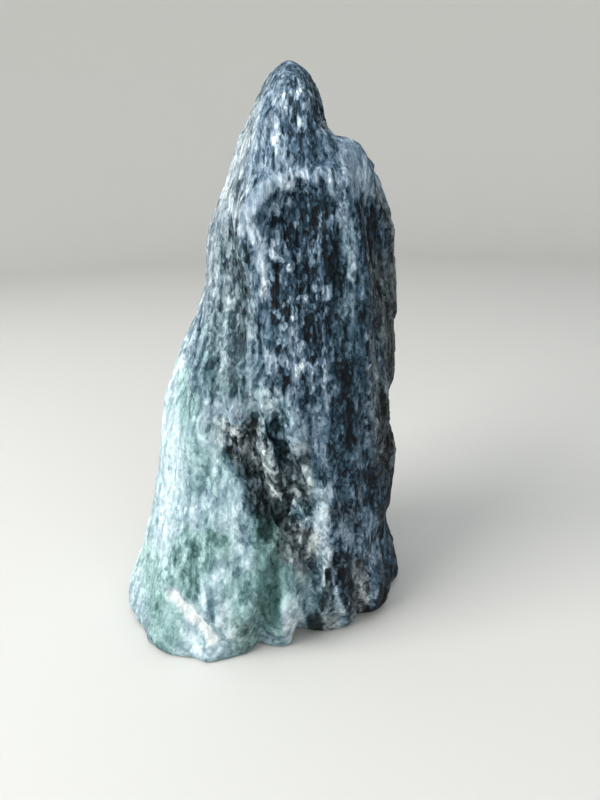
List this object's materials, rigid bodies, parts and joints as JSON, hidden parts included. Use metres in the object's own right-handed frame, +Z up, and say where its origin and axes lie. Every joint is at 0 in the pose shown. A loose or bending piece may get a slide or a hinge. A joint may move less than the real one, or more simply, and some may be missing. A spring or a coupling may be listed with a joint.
{
  "type": "soapstone rock",
  "caption": "Rough upright soapstone with a pointed tip, a lower shoulder, a hollow face, a diagonal trench and a swelling pale foot, standing on its flat underside",
  "frame": {"origin": "middle of the stone's box in plan, on the surface that it stands on", "axes": "+Z up along the stone's fibres, -Y out of the face with the hollow and the trench, +X to the right of somebody who looks at that face"},
  "size_m": [0.1192, 0.0956, 0.213],
  "materials": {
    "soapstone": "rough natural break, waxy, streaked along the grain"
  },
  "bodies": {
    "root": {"soapstone": "soapstone"}
  },
  "joints": []
}
